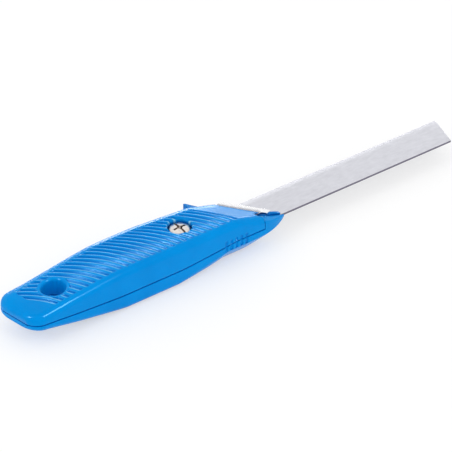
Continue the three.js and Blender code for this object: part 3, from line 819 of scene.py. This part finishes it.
def hollow(side, *kept):
    rear = TAIL_X + TAIL_NEAR_CORNER
    core = loft("core", [core_ring(x, side) for x in stations(rear, CORE_FRONT, CORE_STEP)])
    ribs = [box(x - RIB / 2.0, x + RIB / 2.0, LOW, HIGH, LOW, HIGH) for x in RIB_XS]
    tube = post(HANG_WALL, HANG_X, HANG_Y, LOW, HIGH)
    block = box(NOSE_BLOCK_X, PAST_NOSE, LOW, HIGH, LOW, HIGH)
    return cut(core, tube, block, *ribs, *kept)


def upper_half():
    rings = [upper_ring(x) for x in stations(TAIL_X + TAIL_TRIM, BEAK_TIP, STATION_STEP)]
    half = loft("upper", rings)
    cut(
        half,
        hollow(1, post(HEAD_WALL, 0.0, 0.0, LOW, HIGH)),
        box(CHANNEL_REAR, PAST_NOSE, -CHANNEL_HALF, CHANNEL_HALF, LOW, CARRIER_ROOF),
        box(PLATE_REAR, PAST_NOSE, -CHANNEL_HALF, CHANNEL_HALF, LOW, PLATE_ROOF),
        box(*TAB_WAY, 0.0, HIGH, LOW, CARRIER_ROOF),
        past_slant(MOUTH_X),
        box(BEAK_START - BEAK_GAP, PAST_NOSE, LOW, FINGER_NOTCH - CHANNEL_HALF, LOW, HIGH),
        post(FINGER_NOTCH, BEAK_START, -CHANNEL_HALF, LOW, HIGH),
    )
    join(half, post(BOSS_RADIUS, 0.0, 0.0, BOSS_BOTTOM, CARRIER_ROOF + JOIN_OVERLAP))
    stake_top = PLATE_ROOF + JOIN_OVERLAP
    join(half, *[post(STAKE_RADIUS, x, y, STAKE_BOTTOM, stake_top, STAKE_SIDES) for x, y in STAKES])
    seat = [(COUNTERBORE, COUNTERBORE_FLOOR)]
    seat += [(COUNTERBORE + wider, TOP_HEIGHT + above) for wider, above in COUNTERBORE_FLARE]
    cut(half, turned(seat, 0.0, 0.0, FINE_SIDES), post(SHANK_HOLE, 0.0, 0.0, LOW, HIGH), hang_hole())
    return paint_ridge_highlight(half, GROOVE_FRONT)


def lower_half():
    xs = stations(TAIL_X + TAIL_TRIM, BEAK_START - STATION_GAP, STATION_STEP)
    xs += stations(BEAK_START, BEAK_TIP, STATION_STEP)
    half = loft("lower", [lower_ring(x) for x in xs])
    rail_middle = CHANNEL_HALF - RAIL_GAP - RIB / 2.0
    rails = [(way * rail_middle - RIB / 2.0, way * rail_middle + RIB / 2.0) for way in (-1.0, 1.0)]
    rail_xs = (CHANNEL_REAR + RIB, NOSE_BLOCK_X + RAIL_INTO_NOSE)
    kept_rails = [box(*rail_xs, *ys, LOW, CHANNEL_FLOOR) for ys in rails]
    core = hollow(-1, post(NUT_BOSS, 0.0, 0.0, LOW, HIGH), *kept_rails)
    front = past_slant(LOWER_MOUTH_X)
    combine(front, box(-PAST_NOSE, PAST_NOSE, -CHANNEL_HALF, PAST_NOSE, LOW, HIGH), "INTERSECT")
    cut(half, core)
    join(half, *[box(*rail_xs, *ys, -LAND_DEPTH / 2.0, CHANNEL_FLOOR) for ys in rails])
    cut(
        half,
        front,
        box(CHANNEL_REAR, PAST_NOSE, -CHANNEL_HALF, CHANNEL_HALF, CHANNEL_FLOOR, HIGH),
        post(NUT_POCKET, 0.0, 0.0, LOW, NUT_FLOOR, NUT_SIDES),
        post(SHANK_HOLE, 0.0, 0.0, LOW, HIGH),
        hang_hole(),
    )
    return paint_ridge_highlight(half, GROOVE_FRONT_BELOW)


# Pan head screw with a combined cross and slot drive
def screw():
    profile = [(SHANK_RADIUS - SHANK_POINT, SHANK_END), (SHANK_RADIUS, SHANK_END + SHANK_POINT)]
    profile += [(SHANK_RADIUS, HEAD_SEAT), (HEAD_RADIUS - HEAD_BREAK, HEAD_SEAT)]
    profile += [(HEAD_RADIUS, HEAD_SEAT + HEAD_BREAK)]
    for i in range(HEAD_STEPS):
        a = math.pi / 2.0 * i / HEAD_STEPS
        rise = (HEAD_HEIGHT - HEAD_EDGE) * math.sin(a)
        profile.append((HEAD_RADIUS * math.cos(a), HEAD_SEAT + HEAD_EDGE + rise))
    head = turned(profile, 0.0, 0.0, FINE_SIDES)
    top = HEAD_SEAT + HEAD_HEIGHT
    half = DRIVE_WIDTH / 2.0
    reach = DRIVE_LENGTH / 2.0
    slot = box(-half, half, LOW, HIGH, top - SLOT_SHARE * DRIVE_DEPTH, HIGH)
    arm = box(-reach, reach, -half, half, top - DRIVE_DEPTH, HIGH)
    pit = [
        (PIT_TIP_RADIUS, top - PIT_TIP_SHARE * DRIVE_DEPTH),
        (PIT_RADIUS, top - PIT_WALL_SHARE * DRIVE_DEPTH),
        (PIT_MOUTH_RADIUS, top + PIT_CLEAR),
    ]
    return cut(head, slot, arm, turned(pit, 0.0, 0.0, PIT_SIDES))


cover = place(upper_half(), "cover_moulding", "upper_shell", "cover", blue_plastic)
handle = place(lower_half(), "handle_moulding", "lower_shell", "handle", blue_plastic)
place(screw(), "pan_head_screw", "handle_screw", "screw", zinc_steel, sharp=35.0)
blade = softened("blade", "blade_strip", width=0.08, segments=2)
dress(blade, "blade", "slider", blade_steel, sharp=10.0)
plate = softened("pressure_plate", "bright_plate", width=0.18)
dress(plate, "pressure_plate", "cover", plate_steel)
# The carrier takes the blue plastic darkened as painted shade
carrier = softened("blade_carrier", "push_carrier", width=0.3)
dress(carrier, "blade_carrier", "slider", dark_blue_plastic)
nut = softened("screw_nut", "hex_nut", width=0.25)
dress(nut, "screw_nut", "handle", zinc_steel)


# Floor, light and camera

# 1 on the rays that show a surface, straight, mirrored or through glass, and 0 on the rest
def seen_rays(nodes, links):
    path = nodes.new("ShaderNodeLightPath")
    seen = nodes.new("ShaderNodeMath")
    seen.operation = "MAXIMUM"
    seen_through = nodes.new("ShaderNodeMath")
    seen_through.operation = "MAXIMUM"
    links.new(path.outputs["Is Camera Ray"], seen.inputs[0])
    links.new(path.outputs["Is Glossy Ray"], seen.inputs[1])
    links.new(seen.outputs["Value"], seen_through.inputs[0])
    links.new(path.outputs["Is Transmission Ray"], seen_through.inputs[1])
    return seen_through.outputs["Value"]


def floor():
    half = FLOOR_HALF
    corners = [(-half, -half, 0.0), (half, -half, 0.0), (half, half, 0.0), (-half, half, 0.0)]
    obj = new_object("floor", corners, [(0, 1, 2, 3)])
    material, nodes, links = new_material("pale_floor")
    shader = nodes["Principled BSDF"]
    shader.inputs["Roughness"].default_value = 0.9
    shader.inputs["Specular IOR Level"].default_value = 0.0
    tint = noise(nodes, links, 3.0)
    colours = colour_ramp(nodes, [(0.3, (0.965, 0.965, 0.965)), (0.7, (0.98, 0.98, 0.98))])
    links.new(tint.outputs["Fac"], colours.inputs["Fac"])
    links.new(colours.outputs["Color"], shader.inputs["Base Color"])
    white = nodes.new("ShaderNodeEmission")
    white.inputs["Strength"].default_value = 1.0
    share = nodes.new("ShaderNodeMath")
    share.operation = "MULTIPLY"
    share.inputs[1].default_value = FLOOR_GLOW
    mix = nodes.new("ShaderNodeMixShader")
    links.new(seen_rays(nodes, links), share.inputs[0])
    links.new(share.outputs["Value"], mix.inputs["Fac"])
    links.new(shader.outputs["BSDF"], mix.inputs[1])
    links.new(white.outputs["Emission"], mix.inputs[2])
    links.new(mix.outputs["Shader"], nodes["Material Output"].inputs["Surface"])
    obj.data.materials.append(material)


def area_light(name, place_m, target_m, width, height, power):
    data = bpy.data.lights.new(name, "AREA")
    data.shape = "RECTANGLE"
    data.size = width
    data.size_y = height
    data.energy = power
    obj = bpy.data.objects.new(name, data)
    obj.location = place_m
    obj.rotation_mode = "QUATERNION"
    obj.rotation_quaternion = (Vector(target_m) - Vector(place_m)).to_track_quat("-Z", "Y")
    obj.visible_camera = False
    bpy.context.scene.collection.objects.link(obj)
    return obj


# A small lamp that only makes highlights on the plastic
def sparkle(name, place_m, pieces):
    lamp = area_light(name, place_m, OBJECT_MIDDLE, SPARKLE_SIZE, SPARKLE_SIZE, SPARKLE_POWER)
    lamp.visible_diffuse = False
    lit = bpy.data.collections.new(name + "_lit")
    for piece in pieces:
        lit.objects.link(piece)
    lamp.light_linking.receiver_collection = lit


def sky():
    world = bpy.data.worlds.new("studio")
    bpy.context.scene.world = world
    world.use_nodes = True
    nodes = world.node_tree.nodes
    links = world.node_tree.links
    light = nodes["Background"]
    light.inputs["Color"].default_value = (1.0, 1.0, 1.0, 1.0)
    light.inputs["Strength"].default_value = SKY_LIGHT
    backdrop = nodes.new("ShaderNodeBackground")
    backdrop.inputs["Color"].default_value = (1.0, 1.0, 1.0, 1.0)
    backdrop.inputs["Strength"].default_value = 1.0
    mix = nodes.new("ShaderNodeMixShader")
    links.new(seen_rays(nodes, links), mix.inputs["Fac"])
    links.new(light.outputs["Background"], mix.inputs[1])
    links.new(backdrop.outputs["Background"], mix.inputs[2])
    links.new(mix.outputs["Shader"], nodes["World Output"].inputs["Surface"])


def camera():
    data = bpy.data.cameras.new("camera")
    data.sensor_width = SENSOR_WIDTH
    data.lens = CAMERA_LENS
    data.clip_end = 100.0
    obj = bpy.data.objects.new("camera", data)
    heading = math.radians(CAMERA_HEADING)
    elevation = math.radians(CAMERA_ELEVATION)
    ahead = Vector((
        math.sin(heading) * math.cos(elevation),
        math.cos(heading) * math.cos(elevation),
        -math.sin(elevation),
    ))
    obj.location = (CAMERA_PLACE - ROW_ORIGIN) * MM
    obj.rotation_mode = "QUATERNION"
    obj.rotation_quaternion = ahead.to_track_quat("-Z", "Y")
    bpy.context.scene.collection.objects.link(obj)
    bpy.context.scene.camera = obj


floor()
sky()
area_light("front_light", FRONT_LIGHT, OBJECT_MIDDLE, LAMP_SIZE, LAMP_SIZE, LAMP_POWER)
area_light("left_light", LEFT_LIGHT, OBJECT_MIDDLE, LAMP_SIZE, LAMP_SIZE, LAMP_POWER)
area_light("back_light", BACK_LIGHT, OBJECT_MIDDLE, BACK_WIDTH, BACK_HEIGHT, BACK_POWER)
sparkle("front_sparkle", FRONT_LIGHT, (cover, handle))
sparkle("left_sparkle", LEFT_LIGHT, (cover, handle))
camera()
bpy.context.scene.view_settings.view_transform = "Standard"
